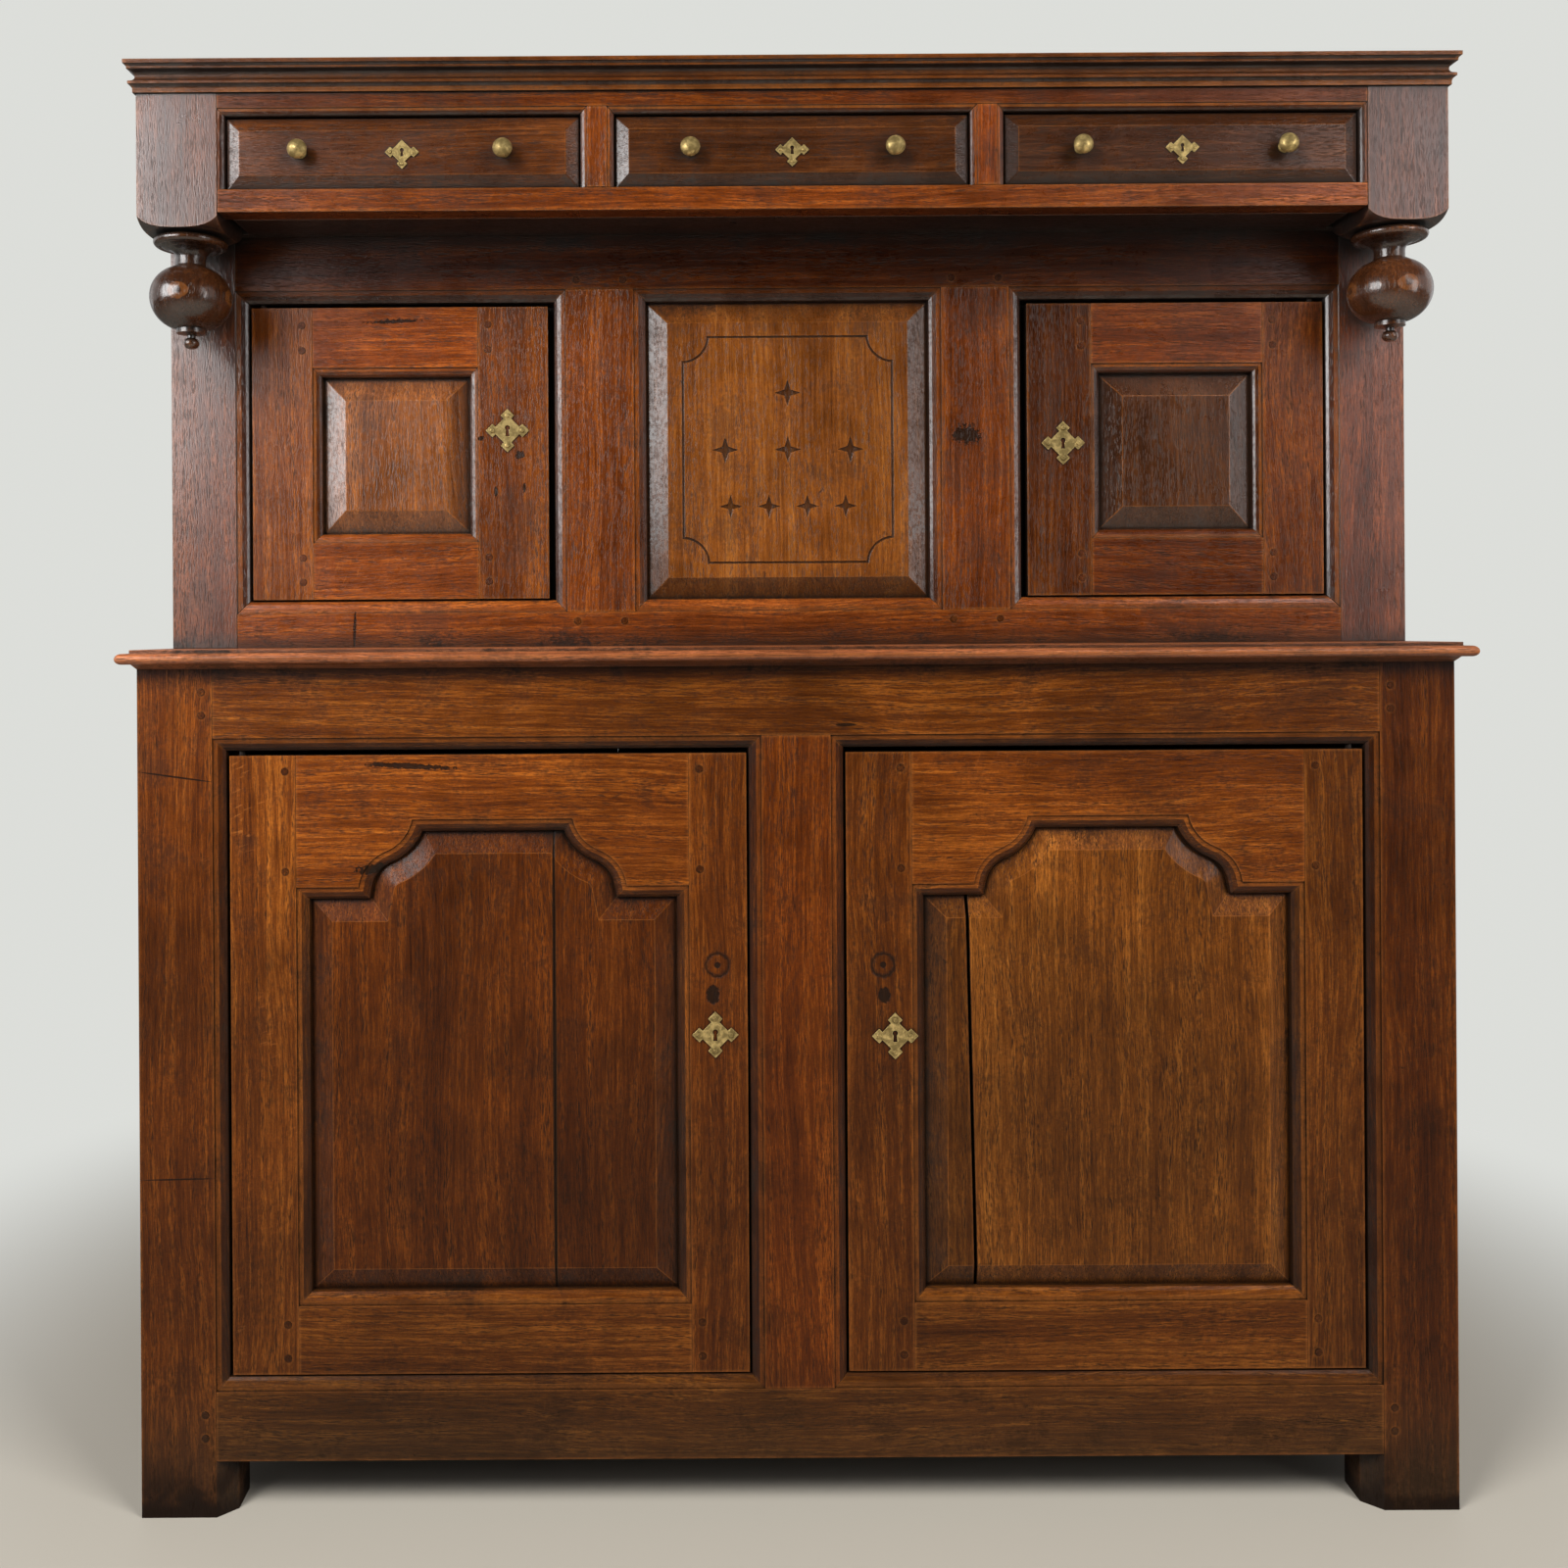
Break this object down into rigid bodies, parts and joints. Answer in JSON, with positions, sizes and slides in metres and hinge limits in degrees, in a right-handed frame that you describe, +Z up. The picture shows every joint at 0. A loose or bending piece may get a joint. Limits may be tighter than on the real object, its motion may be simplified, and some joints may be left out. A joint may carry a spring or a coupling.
{
  "type": "court cupboard",
  "caption": "Two-stage joined oak press cupboard with arched panelled lower doors, a recessed upper stage, frieze drawers and turned drops.",
  "frame": {"origin": "on the floor, at the middle of the cupboard's width and depth", "axes": "+X to the right hand of someone facing the cupboard, -Y the front with the doors and drawers, +Z up"},
  "size_m": [1.512, 0.544, 1.635],
  "materials": {
    "oak": "waxed, worn",
    "dark_oak": "waxed, dark patina",
    "golden_oak": "waxed, light",
    "inner_oak": "dry, unpolished",
    "brass": "aged, polished on the high spots",
    "iron": "dark, dull"
  },
  "bodies": {
    "carcase": {"base_back_boards": "inner_oak", "base_back_rails": "inner_oak", "base_bottom_rail": "oak", "base_muntin": "oak", "base_side_panels": "oak", "base_side_rails": "oak", "base_top_rail": "oak", "canopy_posts": "dark_oak", "canopy_side_boards": "dark_oak", "centre_panel": "golden_oak", "cornice": "dark_oak", "drawer_runners": "inner_oak", "floor_bearers": "inner_oak", "floor_boards": "inner_oak", "frame_pegs": "oak", "frieze_bottom_rail": "oak", "frieze_muntins": "oak", "frieze_top_rail": "oak", "front_left_leg": "oak", "front_right_leg": "oak", "middle_board": "oak", "pendants": "dark_oak", "rear_legs": "oak", "soffit_boards": "inner_oak", "top_boards": "inner_oak", "upper_back_boards": "inner_oak", "upper_back_rails": "inner_oak", "upper_muntins": "oak", "upper_rails": "oak", "upper_rear_posts": "oak", "upper_side_panels": "oak", "upper_side_rails": "oak", "upper_stiles": "dark_oak"},
    "lower_left_door": {"lower_left_door_escutcheon": "brass", "lower_left_door_frame": "oak", "lower_left_door_ironwork": "iron", "lower_left_door_panel": "oak"},
    "lower_right_door": {"lower_right_door_escutcheon": "brass", "lower_right_door_frame": "oak", "lower_right_door_ironwork": "iron", "lower_right_door_panel": "golden_oak"},
    "upper_left_door": {"upper_left_door_escutcheon": "brass", "upper_left_door_frame": "oak", "upper_left_door_ironwork": "iron", "upper_left_door_panel": "dark_oak"},
    "upper_right_door": {"upper_right_door_escutcheon": "brass", "upper_right_door_frame": "oak", "upper_right_door_ironwork": "iron", "upper_right_door_panel": "dark_oak"},
    "left_drawer": {"left_drawer_box": "inner_oak", "left_drawer_brasses": "brass", "left_drawer_front": "dark_oak"},
    "centre_drawer": {"centre_drawer_box": "inner_oak", "centre_drawer_brasses": "brass", "centre_drawer_front": "dark_oak"},
    "right_drawer": {"right_drawer_box": "inner_oak", "right_drawer_brasses": "brass", "right_drawer_front": "dark_oak"}
  },
  "joints": [
    {"name": "lower_left_door_hinge", "type": "hinge", "parent": "carcase", "child": "lower_left_door", "pos_m": [-0.626, -0.235, 0.50625], "axis": [0, 0, -1], "range_deg": [0, 90]},
    {"name": "lower_right_door_hinge", "type": "hinge", "parent": "carcase", "child": "lower_right_door", "pos_m": [0.626, -0.235, 0.50625], "axis": [0, 0, 1], "range_deg": [0, 90]},
    {"name": "upper_left_door_hinge", "type": "hinge", "parent": "carcase", "child": "upper_left_door", "pos_m": [-0.63, -0.132, 1.2075], "axis": [0, 0, -1], "range_deg": [0, 90]},
    {"name": "upper_right_door_hinge", "type": "hinge", "parent": "carcase", "child": "upper_right_door", "pos_m": [0.63, -0.132, 1.2075], "axis": [0, 0, 1], "range_deg": [0, 90]},
    {"name": "left_drawer_slide", "type": "slide", "parent": "carcase", "child": "left_drawer", "axis": [0, -1, 0], "range_m": [0, 0.25]},
    {"name": "centre_drawer_slide", "type": "slide", "parent": "carcase", "child": "centre_drawer", "axis": [0, -1, 0], "range_m": [0, 0.25]},
    {"name": "right_drawer_slide", "type": "slide", "parent": "carcase", "child": "right_drawer", "axis": [0, -1, 0], "range_m": [0, 0.25]}
  ]
}
